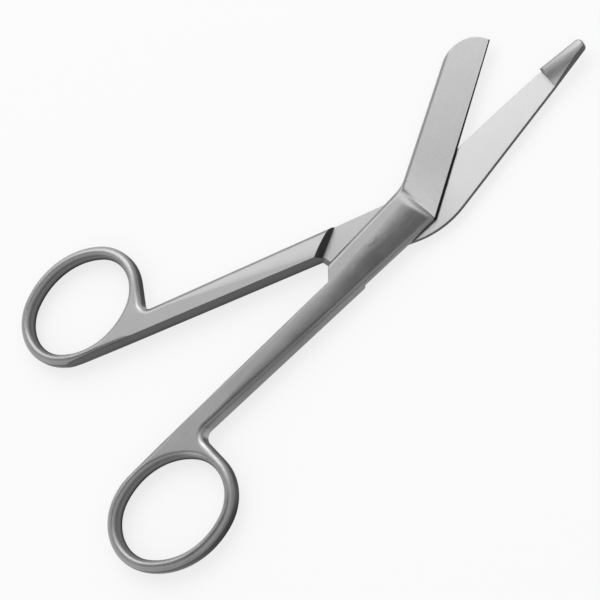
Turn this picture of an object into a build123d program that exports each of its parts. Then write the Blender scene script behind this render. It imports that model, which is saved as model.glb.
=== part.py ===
"""Bandage scissors: two forged steel halves, lapped at the joint and held by a pivot screw.

Millimetres and degrees. The scissors lie on their back with the blades part open: the origin is on
the pivot axis at the level they lie on, +X runs out between the blades and +Z is up.

Each half is shaped in its own axes: the pivot is the origin, its ring and shank lie on the -X, -Y
side of the closing line, its outer face looks along +Z and the lap face is the XY plane.
"""

import os
from math import acos, asin, atan2, cos, degrees, radians, sin, sqrt, tan

from build123d import *

# Whole instrument
thickness = 5.2
rest_half_angle = 11.9

# Finger rings: ovals of four arcs, their long axis turned a little out of the closing line
ring_back = 89.3
ring_length = 40.0
ring_width = 33.2
ring_end_share = 0.9
ring_tilt = 14.0
ring_band = 3.5

# Shanks, ground flat on the side where they face each other
closing_gap = 2.0
shank_width = 5.6
neck_angle = 4.7
neck_radius = 2.4

# Lap joint: half of each shank is stepped away and the other half lies in the step
joint_inner = 4.4
heel_reach = 16.6
heel_aside = 8.9
step_angle = 53.0
step_reach = 12.6
step_draft = 25.0
step_clearance = 1.5
lap_clearance = 0.06

# Rounded flanks, with a narrow flat left between the rounds and along the crest of the ring
flank_flat = 1.4
ring_crest = 0.3
crown_lead = 8.3
crown_radius = 36.0
crown_tilt = 14.0

# Blades
edge_thickness = 0.35
bevel_angle = 9.1
roll_radius = 4.0

# Plain blade with the round blunt end
edge_angle = 33.1
edge_length = 52.3
blade_width = 12.5
tip_width = 11.1
tip_run = 8.6
bend_radius = 9.0

# Probe blade
probe_heel_reach = 15.5
probe_heel_radius = 14.0
probe_bend_reach = 19.8
probe_bend_radius = 25.0
probe_ahead = 69.8
probe_aside = 29.2
probe_tip_radius = 1.45
probe_height = 2.1
probe_toe = 0.2
probe_round = 0.7
probe_back_chamfer = 0.3
shoulder_width = 6.2
crest_start = 1.3
edge_belly = 0.55
tip_clearance = 0.4

# Pivot screw
screw_diameter = 3.5
head_diameter = 5.4
head_height = 1.4
head_recess = 0.25
slot_width = 0.9
slot_depth = 0.7
thread_clearance = 0.01
turn_clearance = 0.04
head_clearance = 0.1
head_chamfer = 0.2

# Room that a cut takes past the metal
beyond = 10.0
far = 200.0

half_thickness = thickness / 2
edge_round = (thickness - flank_flat) / 2
hole_crown = ring_band - ring_crest - edge_round
lap_face = lap_clearance / 2
flank_level = -closing_gap / 2
heel = Vector(heel_reach, -heel_aside)
joint_side = Vector(0, joint_inner)


def heading(angle):
    return Vector(cos(radians(angle)), sin(radians(angle)))


def on_line(start, end, x):
    """Point at the given x on the line through two points."""
    return start + (end - start) * ((x - start.X) / (end.X - start.X))


def crossing(start, direction, other_start, other_direction):
    """Point where two lines meet."""
    between = other_start - start
    along = between.cross(other_direction).Z / direction.cross(other_direction).Z
    return start + direction * along


# Ring: two end arcs and two flatter side arcs, the oval just reaching the closing line
ring_ahead = heading(-ring_tilt)
ring_up = heading(90 - ring_tilt)
end_radius = ring_end_share * ring_width / 2
end_reach = ring_length / 2 - end_radius
side_reach = (end_reach**2 - (ring_width / 2 - end_radius) ** 2) / (ring_width - 2 * end_radius)
side_radius = ring_width / 2 + side_reach
end_spread = degrees(atan2(side_reach, end_reach))
side_spread = 180 - 2 * end_spread
ring_centre = Vector(-ring_back, side_reach * ring_up.Y - side_radius)
inner_centre = ring_centre - ring_up * side_reach
outer_centre = ring_centre + ring_up * side_reach
back_centre = ring_centre - ring_ahead * end_reach
front_centre = ring_centre + ring_ahead * end_reach

# Centre, radius, first angle and spread of the arcs: inner side, back end, outer side, front end
ring_arcs = (
    (inner_centre, side_radius, end_spread - ring_tilt, side_spread),
    (back_centre, end_radius, 180 - end_spread - ring_tilt, 2 * end_spread),
    (outer_centre, side_radius, 180 + end_spread - ring_tilt, side_spread),
    (front_centre, end_radius, -end_spread - ring_tilt, 2 * end_spread),
)

# The inner side of the shank runs on to where it touches the ring
to_joint = joint_side - inner_centre
ring_first = degrees(atan2(to_joint.Y, to_joint.X) + acos(side_radius / to_joint.length))
ring_top = inner_centre + heading(ring_first) * side_radius
inner_line = joint_side - ring_top

# The neck leaves the front of the ring and meets the outer side of the shank
ring_front = front_centre + heading(neck_angle) * end_radius
outer_side = Vector(-ring_back, flank_level - shank_width)
neck = crossing(ring_front, heading(neck_angle + 90), outer_side, heel - outer_side)

# Plain blade: the edge starts at the heel, the spine is drawn in slightly towards the tip
edge_line = heading(edge_angle)
edge_normal = heading(edge_angle + 90)
tip_corner = heel + edge_line * edge_length
spine_start = heel + edge_normal * blade_width
spine_line = (tip_corner + edge_normal * tip_width - spine_start).normalized()
tip_start = tip_corner + edge_normal * tip_width - spine_line * tip_run
bend = crossing(ring_top, inner_line, spine_start, spine_line)

# Probe blade: edge and spine both touch the round nose of the probe
probe_heel = on_line(neck, heel, probe_heel_reach)
probe_bend = on_line(ring_top, joint_side, probe_bend_reach)
nose = Vector(probe_ahead, -probe_aside)
nose_angle = degrees(atan2(nose.Y, nose.X))


def nose_line(start, side):
    """Direction of the line from the start that touches the nose on one side."""
    to_nose = nose - start
    aim = atan2(to_nose.Y, to_nose.X) + side * asin(probe_tip_radius / to_nose.length)
    return heading(degrees(aim))


def at_reach(start, direction, reach):
    """Point of a line at a reach from the pivot, measured towards the nose."""
    ahead = heading(nose_angle)
    return start + direction * ((reach - start.dot(ahead)) / direction.dot(ahead))


probe_spine_line = nose_line(probe_bend, 1)
probe_spine_end = nose + Vector(-probe_spine_line.Y, probe_spine_line.X) * probe_tip_radius
shoulder_spine = at_reach(probe_bend, probe_spine_line, tip_corner.length + tip_clearance)
shoulder_edge = shoulder_spine + heading(nose_angle - 90) * shoulder_width
shoulder_middle = (shoulder_edge + shoulder_spine) / 2
nose_edge_line = nose_line(shoulder_edge, -1)
probe_edge_end = nose + Vector(nose_edge_line.Y, -nose_edge_line.X) * probe_tip_radius
probe_edge_line = (shoulder_edge - probe_heel).normalized()

# Flat ground inner flank of the shank, ended by the slanted crotch of the joint
crotch_line = heading(step_angle)
crotch_out = heading(step_angle + 90)
crotch_foot = crotch_out * (step_reach - step_clearance)
draft = tan(radians(step_draft))
with BuildPart() as inner_grind:
    with BuildSketch(Plane(origin=crotch_foot, x_dir=crotch_out, z_dir=crotch_line)):
        with BuildLine():
            Polyline(
                (beyond * draft, beyond),
                (-beyond * draft, -beyond),
                (far, -beyond),
                (far, beyond),
                close=True,
            )
        make_face()
    extrude(amount=far, both=True)
    split(bisect_by=Plane(origin=(0, flank_level), z_dir=(0, 1, 0)), keep=Keep.TOP)

# Step of the joint, down to the lap face
step_out = heading(-90 - step_angle)
step_line = heading(-step_angle)
with BuildPart() as lap_step:
    with BuildSketch(Plane(origin=step_out * step_reach, x_dir=-step_out, z_dir=step_line)):
        with BuildLine():
            Polyline(
                (0, lap_face),
                (far, lap_face),
                (far, -beyond),
                (-beyond * draft, -beyond),
                close=True,
            )
        make_face()
    extrude(amount=far, both=True)

# Crown of the outer flank: the edge round at the ring, widening to a broad curve over the joint
flank_line = (heel - neck).normalized()
flank_side = Vector(flank_line.Y, -flank_line.X)
upward = Vector(0, 0, 1)
slope = radians(crown_tilt)
slope_line = flank_side * cos(slope) - upward * sin(slope)
crown_edge = (half_thickness - crown_radius * (1 - cos(slope))) / cos(slope)


def crown_arcs(reach, broad, tight):
    """Section of the crown: a broad arc falls from the face and a tight one turns down the flank."""
    width = broad * sin(slope) + tight * (1 - sin(slope))
    start = on_line(neck, heel, reach) - flank_side * width + upward * half_thickness
    turn = start + flank_side * broad * sin(slope) - upward * broad * (1 - cos(slope))
    end = turn + flank_side * tight * (1 - sin(slope)) - upward * tight * cos(slope)
    with BuildLine():
        face_arc = TangentArc(start, turn, tangent=flank_side)
        flank_arc = TangentArc(turn, end, tangent=slope_line)
    return face_arc, flank_arc


ring_section = crown_arcs(neck.X + crown_lead, edge_round, edge_round)
joint_section = crown_arcs(heel_reach, crown_radius, crown_edge)
with BuildPart() as flank_crown:
    for ring_arc, joint_arc in zip(ring_section, joint_section):
        skin = Face.make_surface_from_curves(ring_arc, joint_arc)
        extrude(skin, amount=beyond, dir=flank_side + upward)


def blade_plane(start, direction):
    """Plane of the ground bevel, rising from the cutting edge towards the spine."""
    across = Vector(-direction.Y, direction.X)
    rise = radians(bevel_angle)
    origin = start + Vector(0, 0, lap_face + edge_thickness)
    return Plane(origin=origin, x_dir=direction, z_dir=across * -sin(rise) + Vector(0, 0, cos(rise)))


# Side view of the joint block, whose face rolls over into the ground blade
roll_drop = half_thickness - lap_face - edge_thickness
roll_run = sqrt(roll_radius**2 - (roll_radius - roll_drop) ** 2)


def joint_block(end):
    """Side profile of the joint, from the ring to the roll-over that ends at the given x."""
    start = end - roll_run
    with BuildSketch(Plane.XZ) as profile:
        with BuildLine():
            roll = RadiusArc(
                (start, half_thickness), (start + roll_radius, half_thickness - roll_radius), roll_radius
            )
            Polyline(
                roll @ 1,
                (start + roll_radius, -far),
                (-far, -far),
                (-far, far),
                (start, far),
                roll @ 0,
            )
        make_face()
    return profile.sketch


with BuildPart() as plain_bevel:
    with BuildSketch(blade_plane(heel, edge_line)):
        Rectangle(far, far)
    extrude(amount=far)
    extrude(joint_block(heel_reach), amount=far, both=True, mode=Mode.SUBTRACT)

with BuildPart() as probe_bevel:
    with BuildSketch(blade_plane(probe_heel, probe_edge_line)):
        Rectangle(far, far)
    extrude(amount=far)
    extrude(joint_block(probe_heel_reach), amount=far, both=True, mode=Mode.SUBTRACT)

# Hole of the finger ring, its wall crowned so that no rim is sharp; each cut starts past the middle
with BuildPart() as ring_hole:
    for centre, radius, first, spread in ring_arcs:
        with BuildSketch(Plane(origin=centre, x_dir=heading(first), z_dir=heading(first - 90))):
            with BuildLine():
                waist = radius - ring_band
                rim = waist + hole_crown
                hub = max(waist - ring_width / 2, 0)
                wall = ThreePointArc((rim, -half_thickness), (waist, 0), (rim, half_thickness))
                Polyline(wall @ 1, (hub, half_thickness), (hub, -half_thickness), wall @ 0)
            make_face()
        revolve(axis=Axis(centre, (0, 0, 1)), revolution_arc=spread)


def ring_outline():
    """Outer oval of the ring, from the inner side of the shank round to the neck."""
    inner, back, outer, front = ring_arcs
    CenterArc(inner_centre, side_radius, ring_first, inner[2] + inner[3] - ring_first)
    CenterArc(*back)
    CenterArc(*outer)
    last = CenterArc(front_centre, end_radius, front[2], neck_angle - front[2])
    Line(last @ 1, neck)


def shape_handle(sharp_side, crown):
    """Cut the ring, round a half all round but for its sharp side, then cut its flanks and step."""
    add(ring_hole.part, mode=Mode.SUBTRACT)
    for level in (0, -1):
        outline = faces().sort_by(Axis.Z)[level].outer_wire().edges()
        fillet(outline.sort_by_distance(sharp_side)[1:], edge_round)
    add(inner_grind.part, mode=Mode.SUBTRACT)
    add(lap_step.part, mode=Mode.SUBTRACT)
    add(crown, mode=Mode.SUBTRACT)


# Plain half
with BuildPart() as plain_forging:
    with BuildSketch(Plane.XY.offset(-half_thickness)):
        with BuildLine():
            ring_outline()
            Polyline(neck, heel, tip_corner)
            TangentArc(tip_start, tip_corner, tangent=spine_line)
            Polyline(tip_start, bend, ring_top)
        make_face()
        fillet(vertices().sort_by_distance(neck)[0], neck_radius)
        fillet(vertices().sort_by_distance(bend)[0], bend_radius)
    extrude(amount=thickness)
    shape_handle((heel + tip_corner) / 2, flank_crown.part)
    add(plain_bevel.part, mode=Mode.SUBTRACT)
    Hole(screw_diameter / 2 + thread_clearance)

# Blunt nose of the probe: it stands up past the lap face to a crest, and falls off to the spine
crest = shoulder_edge + heading(nose_angle + 90) * crest_start
crest_line = (nose - crest).normalized()
crest_side = Vector(-crest_line.Y, crest_line.X)
crest_width = shoulder_width - crest_start
crest_drop = probe_height - probe_toe
crest_radius = (crest_width**2 + crest_drop**2) / (2 * crest_drop)
crest_end = nose + crest_line * beyond + Vector(0, 0, -probe_height)
with BuildPart() as probe_nose:
    with BuildSketch(Plane.XY.offset(-probe_height)):
        with BuildLine():
            Polyline(probe_spine_end, shoulder_spine, shoulder_edge, probe_edge_end)
            RadiusArc(probe_spine_end, probe_edge_end, probe_tip_radius)
        make_face()
    extrude(amount=probe_height + half_thickness)
    add(probe_bevel.part, mode=Mode.SUBTRACT)
    back_rim = faces().sort_by(Axis.Z)[-1].edges()
    chamfer(back_rim.sort_by_distance(shoulder_middle)[1:], probe_back_chamfer)
    fillet(faces().sort_by(Axis.Z)[0].edges(), probe_round)
    with BuildSketch(Plane(origin=crest_end, x_dir=crest_side, z_dir=-crest_line)):
        with BuildLine():
            fall = RadiusArc((0, 0), (crest_width, -crest_drop), crest_radius)
            Polyline(fall @ 1, (crest_width, beyond), (0, beyond), fall @ 0)
        make_face()
    extrude(amount=far, mode=Mode.SUBTRACT)

# Probe half
with BuildPart() as probe_forging:
    with BuildSketch(Plane.XY.offset(-half_thickness)):
        with BuildLine():
            ring_outline()
            Line(neck, probe_heel)
            SagittaArc(probe_heel, shoulder_edge, -edge_belly)
            Polyline(shoulder_edge, shoulder_spine, probe_bend, ring_top)
        make_face()
        fillet(vertices().sort_by_distance(neck)[0], neck_radius)
        fillet(vertices().sort_by_distance(probe_heel)[0], probe_heel_radius)
        fillet(vertices().sort_by_distance(probe_bend)[0], probe_bend_radius)
    extrude(amount=thickness)
    shape_handle(shoulder_middle, flank_crown.part.mirror(Plane.XY))
    add(probe_bevel.part, mode=Mode.SUBTRACT)
    add(probe_nose.part)
    with Locations((0, 0, half_thickness)):
        CounterBoreHole(
            screw_diameter / 2 + turn_clearance,
            head_diameter / 2 + head_clearance,
            head_recess + head_height + lap_clearance,
        )

# Resting places of the halves
plain_place = Plane(origin=(0, 0, half_thickness), x_dir=heading(rest_half_angle))
probe_place = Plane(origin=(0, 0, half_thickness), x_dir=heading(-rest_half_angle), z_dir=(0, 0, -1))

with BuildPart() as plain_blade_half:
    add(plain_forging.part.moved(plain_place.location))

with BuildPart() as probe_blade_half:
    add(probe_forging.part.moved(probe_place.location))

# Pivot screw, its slotted head underneath and its end ground flush with the crowned face
with BuildPart() as pivot_screw:
    with BuildSketch(Plane.XY.offset(head_recess)):
        Circle(head_diameter / 2)
    extrude(amount=head_height)
    with BuildSketch(Plane.XY.offset(head_recess)):
        Circle(screw_diameter / 2)
    extrude(amount=thickness - head_recess)
    with BuildSketch(Plane.XY.offset(head_recess)):
        Rectangle(head_diameter, slot_width)
    extrude(amount=slot_depth, mode=Mode.SUBTRACT)
    chamfer(edges().filter_by(GeomType.CIRCLE).group_by(Axis.Z)[0], head_chamfer)
    add(flank_crown.part.moved(plain_place.location), mode=Mode.SUBTRACT)

os.makedirs("parts", exist_ok=True)
plain_blade_half.part.label = "plain_blade_half"
export_step(plain_blade_half.part, "parts/plain_blade_half.step")
probe_blade_half.part.label = "probe_blade_half"
export_step(probe_blade_half.part, "parts/probe_blade_half.step")
pivot_screw.part.label = "pivot_screw"
export_step(pivot_screw.part, "parts/pivot_screw.step")
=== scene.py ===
"""Looks of the bandage scissors: satin handles, ground blades, soft studio light and the photo's view."""

from math import atan2, cos, pi, radians, sin
from types import SimpleNamespace

import bpy
from mathutils import Matrix, Vector

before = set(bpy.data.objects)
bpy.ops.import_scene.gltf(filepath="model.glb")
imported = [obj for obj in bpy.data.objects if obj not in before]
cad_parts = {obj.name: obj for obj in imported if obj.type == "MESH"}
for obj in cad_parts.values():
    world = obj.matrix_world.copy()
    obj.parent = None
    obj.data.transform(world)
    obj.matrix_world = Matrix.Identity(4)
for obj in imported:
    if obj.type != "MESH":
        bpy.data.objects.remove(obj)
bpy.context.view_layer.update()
scene = bpy.context.scene
scene.view_settings.view_transform = "Standard"

# View: metres and radians, and the sensor in millimetres
look_at = Vector((-0.02558, -0.00277, 0.0026))
view_distance = 0.5529
view_tilt = radians(30.82)
away_angle = radians(113.99)
away_in_picture = radians(144.56)
picture_width = 0.16364
sensor_width = 36.0
clip_range = (0.01, 20.0)

# Shape of the halves that the finishes follow: metres and radians
rest_angle = radians(11.9)
lap_level = 0.0026
ring_back = 0.0893
ring_aside = 0.0168
neck_back = 0.0728
neck_aside = 0.0088
heel_run = 0.0166
heel_aside = 0.0089
edge_angle = radians(33.1)
edge_length = 0.0523
bevel_angle = radians(9.1)
blade_width = 0.0125
tip_width = 0.0111
nose_angle = radians(10.8)
nose_sides = (-0.0025, 0.0025)

# Where a finish, a painted shade or a painted highlight sets in, from none to full: metres from the pivot,
# along the shank or from a border
ring_border = (0.022, 0.019)
neck_border = (0.0075, 0.004)
blade_start = (heel_run - 0.0012, heel_run - 0.0002)
lap_border = (0.0003, 0.0001)
spine_border = (0.0015, 0.0011)
spine_end = (edge_length - 0.002, edge_length - 0.009)
heel_patch = (0.018, 0.0)
nose_start = (0.0637, 0.0641)
joint_border = (0.01, 0.03)
screw_border = (0.002, 0.003)
shank_start = (-0.068, -0.05)
shank_end = (-0.012, -0.035)
outer_side = (0.0, 0.002)
roll_start = (0.0095, 0.0125)

# Cutting edge, painted dark as shadow: width in metres at heel and tip, and where its border fades, as shares
# of the width
edge_widths = (0.0005, 0.0002)
edge_border = (1.2, 0.8)

# Where a finish or a painted dark reflection sets in by the way the surface faces: degrees
bevel_spread = (4, 2)
shaded_side = -26

# Where a finish, a painted shade or a painted highlight sets in by the way the surface faces: shares of
# upright or of a direction
lap_upright = (0.95, 0.99)
round_upright = (0.999, 0.92)
wall_upright = (0.7, 0.2)
hole_rise = (0.75, 0.3)
hole_facing = (-0.2, -0.6)
flank_facing = (0.3, 0.7)
shaded_facing = (0.3, 0.9)

# Crown of the upper half as it shades: flatter along the shank and rounder at the joint
crown_run = (-0.03, 0.0)
crown_bends = (-0.5, 0.35)
crown_tilt = (0.5, 0.3)
crown_rise = (0.0, 0.2)

# Lightness of the finishes, from the lowest to the highest, and the painted shade, shadow and highlights that
# darken or lighten them
satin_tones = (0.26, 0.295)
bevel_tones = (0.46, 0.53)
lap_tones = (0.42, 0.46)
# Painted shade at the nose's edge side and painted light at its spine side
nose_painted_shading_tones = (0.2, 0.6)
# Painted shade on the walls, darker towards the bottom
wall_painted_shade_tones = (0.028, 0.078)
# Painted shade in the ring holes, darker towards the bottom
hole_wall_painted_shade_tones = (0.01, 0.22)
# Painted shadow along the cutting edge
edge_painted_shadow_tone = 0.015
# Painted highlights on the rounds of the ring and the neck
ring_painted_highlight = 1.35
neck_painted_highlight = 1.65
# Painted light on the bevel near the heel
heel_painted_light = 1.25
# Painted shade on the lap face near the joint, under the upper half
joint_shade = 0.8
# Painted shade along the middle of the shank
shank_shade = 0.86
# Share of the walls' painted shade that stays on the shank's outer flank
flank_wall_share = 0.15
# Edge tint kept where the reflection is painted darker
wall_painted_reflection_tint = 0.3
streak_tones = (-0.022, 0.022)

# Roughness of the finishes, from the lowest to the highest
satin_roughness = (0.29, 0.35)
cloud_roughness = (0.0, 0.04)
ground_roughness = (0.32, 0.44)

# Fine texture: waves per metre, along and across for streaks, and the range of the noise in use
polish_scale = (60.0, 3600.0)
grind_scale = (130.0, 5200.0)
grind_slant = radians(8)
grain_scale = 5200.0
cloud_scale = 110.0
streak_detail = 4.0
streak_fineness = 0.6
grain_detail = 3.0
cloud_fineness = 0.55
polish_share = 0.5
brushed_range = (0.3, 0.7)
cloud_tone_range = (0.25, 0.75)
cloud_gloss_range = (0.3, 0.7)
grind_range = (0.2, 0.8)

# Relief and softened edges as they shade: metres, with the relief's strength as a share
relief_strength = 0.06
relief_depth = 0.00002
edge_softness = 0.00025
ring_softness = 0.0013
roll_softness = 0.0016
flank_softness = 0.0014
softness_samples = 8

# Studio: degrees, metres, light levels and shares of a direction
key_place = (82, 45, 1.3)
key_size = (1.5, 0.95)
key_level = 1.75
sky_level = 0.85
overhead_place = (-150, 80)
overhead_spread = (40, 8)
overhead_level = 0.19
front_place = (-66, 0)
front_facing = (-0.3, 0.3)
front_height = (0.7, 0.25)
front_share = 0.5
floor_size = 6.0
floor_level = -0.00005
floor_tone = 0.94
floor_roughness = 0.9
floor_specular = 0.1
floor_white = 0.75

up = Vector((0, 0, 1))


def spread(angle):
    """Level direction at an angle in radians."""
    return Vector((cos(angle), sin(angle), 0))


def aimed(azimuth, elevation):
    """Direction at an azimuth and an elevation in degrees."""
    return spread(radians(azimuth)) * cos(radians(elevation)) + up * sin(radians(elevation))


# Camera
def make_camera():
    away = spread(away_angle)
    aside = spread(away_angle + pi / 2)
    forward = away * sin(view_tilt) - up * cos(view_tilt)
    rising = away * cos(view_tilt) + up * sin(view_tilt)
    picture_right = rising * cos(away_in_picture) - aside * sin(away_in_picture)
    picture_up = rising * sin(away_in_picture) + aside * cos(away_in_picture)
    camera_data = bpy.data.cameras.new("camera")
    camera_data.sensor_width = sensor_width
    camera_data.lens = sensor_width * view_distance / picture_width
    camera_data.clip_start, camera_data.clip_end = clip_range
    camera = bpy.data.objects.new("camera", camera_data)
    place = Matrix((picture_right, picture_up, -forward)).transposed().to_4x4()
    place.translation = look_at - forward * view_distance
    camera.matrix_world = place
    scene.collection.objects.link(camera)
    scene.camera = camera


make_camera()


# Small helpers for shader nodes
def new_material(name):
    material = bpy.data.materials.new(name)
    material.use_nodes = True
    tree = material.node_tree
    shader = next(n for n in tree.nodes if n.type == "BSDF_PRINCIPLED")
    return material, tree, shader


def put(tree, kind, settings=None, **sockets):
    """New shader node; s0, s1 and so on are its sockets, given plain values or other nodes' outputs."""
    node = tree.nodes.new(kind)
    for key, value in (settings or {}).items():
        setattr(node, key, value)
    for key, value in sockets.items():
        socket = node.inputs[int(key[1:])]
        if isinstance(value, bpy.types.NodeSocket):
            tree.links.new(value, socket)
        else:
            socket.default_value = value
    return node


def maths(tree, operation, first, second=0.0):
    return put(tree, "ShaderNodeMath", {"operation": operation}, s0=first, s1=second).outputs[0]


def times(tree, first, *others):
    for other in others:
        first = maths(tree, "MULTIPLY", first, other)
    return first


def rest_of(tree, share):
    """What a share leaves of the whole."""
    return maths(tree, "SUBTRACT", 1.0, share)


def vectors(tree, operation, first, second=(0.0, 0.0, 0.0)):
    node = put(tree, "ShaderNodeVectorMath", {"operation": operation}, s0=first, s1=second)
    return node.outputs["Value" if operation in ("DOT_PRODUCT", "LENGTH") else "Vector"]


def facing(tree, vector, direction):
    """Share of a vector that points in a direction."""
    return vectors(tree, "DOT_PRODUCT", vector, direction)


def along(tree, place, direction, origin):
    """Distance of a place from the origin, measured along a direction."""
    return vectors(tree, "DOT_PRODUCT", vectors(tree, "SUBTRACT", place, origin), direction)


def fade(tree, value, limits, ends=(0.0, 1.0)):
    """Smooth change from one end to the other while a value goes from one limit to the other."""
    smooth = {"interpolation_type": "SMOOTHSTEP"}
    start, end = limits
    first, last = ends
    return put(tree, "ShaderNodeMapRange", smooth, s0=value, s1=start, s2=end, s3=first, s4=last).outputs[0]


def within(tree, vector, direction, angles):
    """1 where a vector lies within the second angle of a direction, 0 beyond the first, in degrees."""
    outer, inner = angles
    return fade(tree, facing(tree, vector, direction), (cos(radians(outer)), cos(radians(inner))))


def mixed(tree, factor, first, second):
    return put(tree, "ShaderNodeMix", {"data_type": "FLOAT"}, s0=factor, s2=first, s3=second).outputs[0]


def mixed_vectors(tree, factor, first, second):
    return put(tree, "ShaderNodeMix", {"data_type": "VECTOR"}, s0=factor, s4=first, s5=second).outputs[1]


def noise(tree, place, scale, detail, fineness):
    return put(tree, "ShaderNodeTexNoise", None, s0=place, s2=scale, s3=detail, s4=fineness).outputs["Fac"]


def streaks(tree, place, angle, scale):
    """Noise drawn out into lines that run along one direction of the surface."""
    turn = {"rotation_type": "Z_AXIS"}
    turned = put(tree, "ShaderNodeVectorRotate", turn, s0=place, s3=-angle).outputs[0]
    stretched = vectors(tree, "MULTIPLY", turned, (scale[0], scale[1], scale[1]))
    return noise(tree, stretched, 1.0, streak_detail, streak_fineness)


def link_grey(tree, tone, socket):
    colour = put(tree, "ShaderNodeCombineColor", None, s0=tone, s1=tone, s2=tone)
    tree.links.new(colour.outputs[0], socket)


# Parts of the steel finishes that the pieces share
def satin_finish(tree, place, heading):
    """Lightness, roughness and relief of satin steel that was polished along one direction."""
    polish = streaks(tree, place, heading, polish_scale)
    grain = noise(tree, place, grain_scale, grain_detail, streak_fineness)
    cloud = noise(tree, place, cloud_scale, streak_detail, cloud_fineness)
    brushed = mixed(tree, polish_share, grain, polish)
    streaked = fade(tree, brushed, brushed_range, streak_tones)
    tone = maths(tree, "ADD", fade(tree, cloud, cloud_tone_range, satin_tones), streaked)
    clouded = fade(tree, cloud, cloud_gloss_range, cloud_roughness)
    roughness = maths(tree, "ADD", fade(tree, brushed, brushed_range, satin_roughness), clouded)
    return tone, roughness, brushed


def crowned(tree, place, normal):
    """World normal of the upper half's crown, leaned less along the shank and more at the joint."""
    turn = {"vector_type": "VECTOR", "convert_from": "OBJECT", "convert_to": "WORLD"}
    outward = put(tree, "ShaderNodeVectorTransform", turn, s0=spread(rest_angle - pi / 2)).outputs[0]
    tilt = facing(tree, normal, outward)
    run = along(tree, place, spread(rest_angle), Vector())
    bend = fade(tree, run, crown_run, crown_bends)
    gentle = fade(tree, maths(tree, "ABSOLUTE", tilt), crown_tilt)
    off_blade = rest_of(tree, fade(tree, run, blade_start))
    amount = times(tree, bend, gentle, tilt, off_blade)
    lean = put(tree, "ShaderNodeVectorMath", {"operation": "SCALE"}, s0=outward, s3=amount).outputs[0]
    return vectors(tree, "NORMALIZE", vectors(tree, "ADD", normal, lean))


def finish_steel(tree, shader, tone, roughness, height, normal):
    """Sets the steel's lightness, its roughness and a fine relief on top of a normal."""
    shader.inputs["Metallic"].default_value = 1.0
    link_grey(tree, tone, shader.inputs["Base Color"])
    tree.links.new(roughness, shader.inputs["Roughness"])
    relief = put(tree, "ShaderNodeBump", None, s0=relief_strength, s1=relief_depth)
    tree.links.new(height, relief.inputs["Height"])
    tree.links.new(normal, relief.inputs["Normal"])
    tree.links.new(relief.outputs[0], shader.inputs["Normal"])


# Satin steel with ground blades; side is 1 for the half on top and -1 for the one below
def half_lines(side):
    """Directions and places of a half as it lies."""
    shank_heading = side * rest_angle
    shank_line = spread(shank_heading)
    shank_outward = -spread(shank_heading + side * pi / 2)
    edge_heading = side * (rest_angle + edge_angle)
    return SimpleNamespace(
        shank_heading=shank_heading,
        shank_line=shank_line,
        shank_outward=shank_outward,
        edge_heading=edge_heading,
        edge_line=spread(edge_heading),
        edge_inward=spread(edge_heading + side * pi / 2),
        grind_heading=edge_heading + side * (pi / 2 - grind_slant),
        heel=shank_line * heel_run + shank_outward * heel_aside,
        ring=shank_outward * ring_aside - shank_line * ring_back,
        neck=shank_outward * neck_aside - shank_line * neck_back,
    )


def half_surface(tree, lines):
    """Where a point of the half lies and which way its surface faces."""
    coordinates = put(tree, "ShaderNodeTexCoord")
    place = coordinates.outputs["Object"]
    normal = coordinates.outputs["Normal"]
    rise = put(tree, "ShaderNodeSeparateXYZ", None, s0=normal).outputs[2]
    return SimpleNamespace(
        place=place,
        normal=normal,
        rise=rise,
        upright=maths(tree, "ABSOLUTE", rise),
        level=put(tree, "ShaderNodeSeparateXYZ", None, s0=place).outputs[2],
        reach=vectors(tree, "LENGTH", vectors(tree, "MULTIPLY", place, (1.0, 1.0, 0.0))),
        run=along(tree, place, lines.shank_line, Vector()),
        edge_run=along(tree, place, lines.edge_line, lines.heel),
    )


def ring_shares(tree, lines, surface):
    """Shares of the finger ring, the rounds of ring and neck that get painted highlights, the walls and ring
    holes that get painted shade, and where their reflection is painted darker.
    """
    from_ring = vectors(tree, "SUBTRACT", surface.place, lines.ring)
    from_neck = vectors(tree, "SUBTRACT", surface.place, lines.neck)
    on_ring = fade(tree, vectors(tree, "LENGTH", from_ring), ring_border)
    on_neck = fade(tree, vectors(tree, "LENGTH", from_neck), neck_border)
    rounded = fade(tree, surface.upright, round_upright)
    outward = facing(tree, surface.normal, vectors(tree, "NORMALIZE", from_ring))
    in_hole = times(tree, fade(tree, outward, hole_facing), on_ring, fade(tree, surface.rise, hole_rise))
    wall = fade(tree, surface.upright, wall_upright)
    flank = fade(tree, facing(tree, surface.normal, lines.shank_outward), flank_facing)
    flank = times(tree, flank, rest_of(tree, on_ring))
    shaded = fade(tree, facing(tree, surface.normal, spread(radians(shaded_side))), shaded_facing)
    return SimpleNamespace(
        on_ring=on_ring,
        ring_round=times(tree, on_ring, rounded),
        neck_round=times(tree, on_neck, rounded),
        hole_wall=in_hole,
        # Walls that get painted shade
        painted_wall_shade=times(tree, wall, mixed(tree, flank, 1.0, flank_wall_share)),
        # Ring holes and ring walls on one side, whose reflection is painted darker
        painted_dark_reflection=maths(tree, "MAXIMUM", in_hole, times(tree, wall, on_ring, shaded)),
    )


def spine_share(tree, lines, surface):
    """Share of the upper blade's rounded spine, which stays satin; where the strip reaches over the flat
    bevel, its darker tone is painted shade.
    """
    spine_heading = lines.edge_heading - atan2(blade_width - tip_width, edge_length)
    spine_corner = lines.heel + lines.edge_inward * blade_width
    from_spine = along(tree, surface.place, -spread(spine_heading + pi / 2), spine_corner)
    return times(tree, fade(tree, from_spine, spine_border), fade(tree, surface.edge_run, spine_end))


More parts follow.
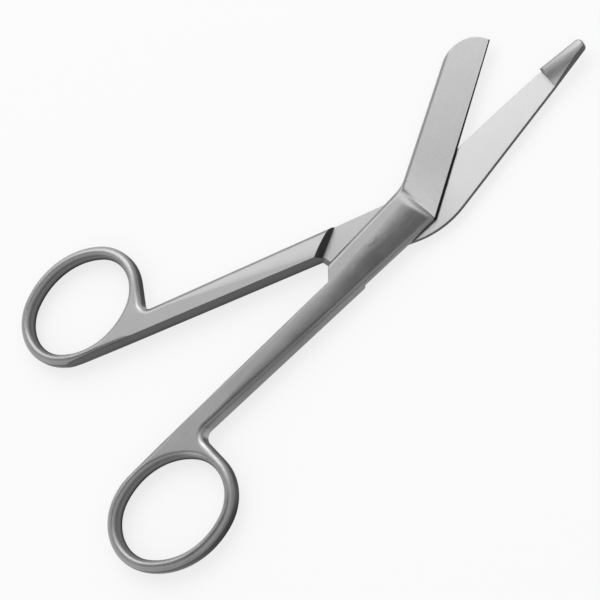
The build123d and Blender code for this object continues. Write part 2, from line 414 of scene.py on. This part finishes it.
def blade_shares(tree, lines, surface, side):
    """Shares of the blade, of its ground bevel and of the ground lap face."""
    on_blade = fade(tree, surface.run, blade_start)
    bevel_normal = side * cos(bevel_angle) * up - sin(bevel_angle) * lines.edge_inward
    bevel = times(tree, within(tree, surface.normal, bevel_normal, bevel_spread), on_blade)
    if side > 0:
        # The spine strip takes the satin tone; over the flat bevel beside the small round that is painted
        # shade
        bevel = times(tree, bevel, rest_of(tree, spine_share(tree, lines, surface)))
    from_lap = maths(tree, "ABSOLUTE", maths(tree, "SUBTRACT", surface.level, lap_level))
    lap = times(tree, fade(tree, from_lap, lap_border), fade(tree, surface.upright, lap_upright))
    return SimpleNamespace(on_blade=on_blade, bevel=bevel, lap=lap, ground=maths(tree, "MAXIMUM", bevel, lap))


def edge_share(tree, lines, surface, on_blade):
    """Share of the upper blade's cutting edge, painted dark as shadow."""
    width = fade(tree, surface.edge_run, (0.0, edge_length), edge_widths)
    from_edge = along(tree, surface.place, lines.edge_inward, lines.heel)
    return times(tree, fade(tree, maths(tree, "DIVIDE", from_edge, width), edge_border), on_blade)


def nose_tone(tree, surface, on_blade, satin):
    """Lightness of the lower half with its nose, with painted shade at the edge side and painted light at the
    spine side.
    """
    on_nose = times(tree, fade(tree, surface.reach, nose_start), on_blade)
    across = along(tree, surface.place, spread(nose_angle - pi / 2), Vector())
    return mixed(tree, on_nose, satin, fade(tree, across, nose_sides, nose_painted_shading_tones))


def shank_share(tree, surface):
    """Share of the middle of the shank."""
    return times(tree, fade(tree, surface.run, shank_start), fade(tree, surface.run, shank_end))


def half_tone(tree, lines, surface, ring, blade, satin, grind, side):
    """Lightness all over a half, with painted highlights, painted shade and a painted shadow."""
    # Painted highlights on the rounds of the ring and the neck
    satin = times(tree, satin, mixed(tree, ring.ring_round, 1.0, ring_painted_highlight))
    satin = times(tree, satin, mixed(tree, ring.neck_round, 1.0, neck_painted_highlight))
    bevel_tone = fade(tree, grind, grind_range, bevel_tones)
    if side > 0:
        # Painted shade along the middle of the shank
        satin = times(tree, satin, mixed(tree, shank_share(tree, surface), 1.0, shank_shade))
        # Painted light on the bevel near the heel
        bevel_tone = times(tree, bevel_tone, fade(tree, surface.edge_run, heel_patch, (1.0, heel_painted_light)))
    else:
        # Painted shade and painted light across the nose
        satin = nose_tone(tree, surface, blade.on_blade, satin)
    lap_tone = fade(tree, grind, grind_range, lap_tones)
    # Painted shade on the lap face near the joint, under the upper half
    lap_tone = times(tree, lap_tone, fade(tree, surface.reach, joint_border, (joint_shade, 1.0)))
    tone = mixed(tree, blade.bevel, satin, bevel_tone)
    tone = mixed(tree, blade.lap, tone, lap_tone)
    # Painted shade on the walls, darker towards the bottom
    tone = mixed(tree, ring.painted_wall_shade, tone, fade(tree, surface.level, (0.0, lap_level), wall_painted_shade_tones))
    # Painted shade in the ring holes, darker towards the bottom
    tone = mixed(tree, ring.hole_wall, tone, fade(tree, surface.level, (0.0, 2 * lap_level), hole_wall_painted_shade_tones))
    if side > 0:
        # Painted shadow along the cutting edge
        tone = mixed(tree, edge_share(tree, lines, surface, blade.on_blade), tone, edge_painted_shadow_tone)
    return tone


def half_normal(tree, lines, surface, ring, blade, side):
    """World normal of a half with softened edges, and with the crown leaned on the upper half."""
    softness = mixed(tree, ring.on_ring, edge_softness, ring_softness)
    softness = times(tree, softness, fade(tree, surface.reach, screw_border))
    if side > 0:
        roll = times(tree, fade(tree, surface.run, roll_start), rest_of(tree, blade.on_blade))
        softness = mixed(tree, roll, softness, roll_softness)
        outer = fade(tree, along(tree, surface.place, lines.shank_outward, Vector()), outer_side)
        softness = mixed(tree, times(tree, shank_share(tree, surface), outer), softness, flank_softness)
    normal = put(tree, "ShaderNodeBevel", {"samples": softness_samples}, s0=softness).outputs[0]
    if side > 0:
        on_crown = times(tree, rest_of(tree, ring.on_ring), fade(tree, surface.rise, crown_rise))
        normal = mixed_vectors(tree, on_crown, normal, crowned(tree, surface.place, normal))
    return normal


def half_material(name, side):
    material, tree, shader = new_material(name)
    lines = half_lines(side)
    surface = half_surface(tree, lines)
    ring = ring_shares(tree, lines, surface)
    blade = blade_shares(tree, lines, surface, side)
    grind = streaks(tree, surface.place, lines.grind_heading, grind_scale)
    satin, satin_rough, brushed = satin_finish(tree, surface.place, lines.shank_heading)
    tone = half_tone(tree, lines, surface, ring, blade, satin, grind, side)
    ground_rough = fade(tree, grind, grind_range, ground_roughness)
    roughness = mixed(tree, blade.ground, satin_rough, ground_rough)
    height = mixed(tree, blade.ground, brushed, grind)
    normal = half_normal(tree, lines, surface, ring, blade, side)
    finish_steel(tree, shader, tone, roughness, height, normal)
    # Painted dark reflection: the edge tint is dimmed in the ring holes and on ring walls facing one side
    link_grey(tree, mixed(tree, ring.painted_dark_reflection, 1.0, wall_painted_reflection_tint), shader.inputs["Specular Tint"])
    return material


# Screw, whose end is finished as the face around it
def screw_material():
    material, tree, shader = new_material("screw_steel_look")
    place = put(tree, "ShaderNodeTexCoord").outputs["Object"]
    tone, roughness, brushed = satin_finish(tree, place, rest_angle)
    normal = crowned(tree, place, put(tree, "ShaderNodeNewGeometry").outputs["Normal"])
    finish_steel(tree, shader, tone, roughness, brushed, normal)
    return material


looks = {
    "plain_blade_half": half_material("satin_steel_upper", 1),
    "probe_blade_half": half_material("satin_steel_lower", -1),
    "pivot_screw": screw_material(),
}
for node, look in looks.items():
    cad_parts[node].data.materials[0] = look


# White paper floor, on which the shadow stays faint
def floor_material():
    material, tree, shader = new_material("floor_paper")
    shader.inputs["Base Color"].default_value = (floor_tone, floor_tone, floor_tone, 1)
    shader.inputs["Roughness"].default_value = floor_roughness
    shader.inputs["Specular IOR Level"].default_value = floor_specular
    rays = put(tree, "ShaderNodeLightPath").outputs
    seen = maths(tree, "ADD", rays["Is Camera Ray"], rays["Is Glossy Ray"])
    seen = maths(tree, "MINIMUM", maths(tree, "ADD", seen, rays["Is Transmission Ray"]), 1.0)
    white = put(tree, "ShaderNodeEmission", None, s0=(1, 1, 1, 1), s1=1.0)
    paper = put(tree, "ShaderNodeMixShader", None, s0=times(tree, seen, floor_white))
    tree.links.new(shader.outputs[0], paper.inputs[1])
    tree.links.new(white.outputs[0], paper.inputs[2])
    output = next(n for n in tree.nodes if n.type == "OUTPUT_MATERIAL")
    tree.links.new(paper.outputs[0], output.inputs["Surface"])
    return material


def make_floor():
    quarters = ((-1, -1), (1, -1), (1, 1), (-1, 1))
    corners = [(x * floor_size, y * floor_size, floor_level) for x, y in quarters]
    mesh = bpy.data.meshes.new("floor")
    mesh.from_pydata(corners, [], [(0, 1, 2, 3)])
    mesh.materials.append(floor_material())
    floor = bpy.data.objects.new("floor", mesh)
    scene.collection.objects.link(floor)


make_floor()


# Light: one large soft box and a grey studio, darker overhead and low on the camera's side
def make_key():
    azimuth, elevation, distance = key_place
    width, height = key_size
    lamp_data = bpy.data.lights.new("key", "AREA")
    lamp_data.shape = "RECTANGLE"
    lamp_data.size = width
    lamp_data.size_y = height
    lamp_data.energy = key_level * pi * width * height
    lamp = bpy.data.objects.new("key", lamp_data)
    direction = aimed(azimuth, elevation)
    lamp.location = look_at + direction * distance
    lamp.rotation_euler = direction.to_track_quat("Z", "Y").to_euler()
    scene.collection.objects.link(lamp)


def make_world():
    world = bpy.data.worlds.new("studio")
    world.use_nodes = True
    scene.world = world
    tree = world.node_tree
    background = next(n for n in tree.nodes if n.type == "BACKGROUND")
    direction = put(tree, "ShaderNodeTexCoord").outputs["Generated"]
    height = put(tree, "ShaderNodeSeparateXYZ", None, s0=direction).outputs[2]
    overhead = within(tree, direction, aimed(*overhead_place), overhead_spread)
    front = fade(tree, facing(tree, direction, aimed(*front_place)), front_facing)
    low_front = times(tree, front, fade(tree, height, front_height))
    level = mixed(tree, overhead, sky_level, overhead_level)
    level = times(tree, level, mixed(tree, low_front, 1.0, front_share))
    link_grey(tree, level, background.inputs["Color"])


make_key()
make_world()
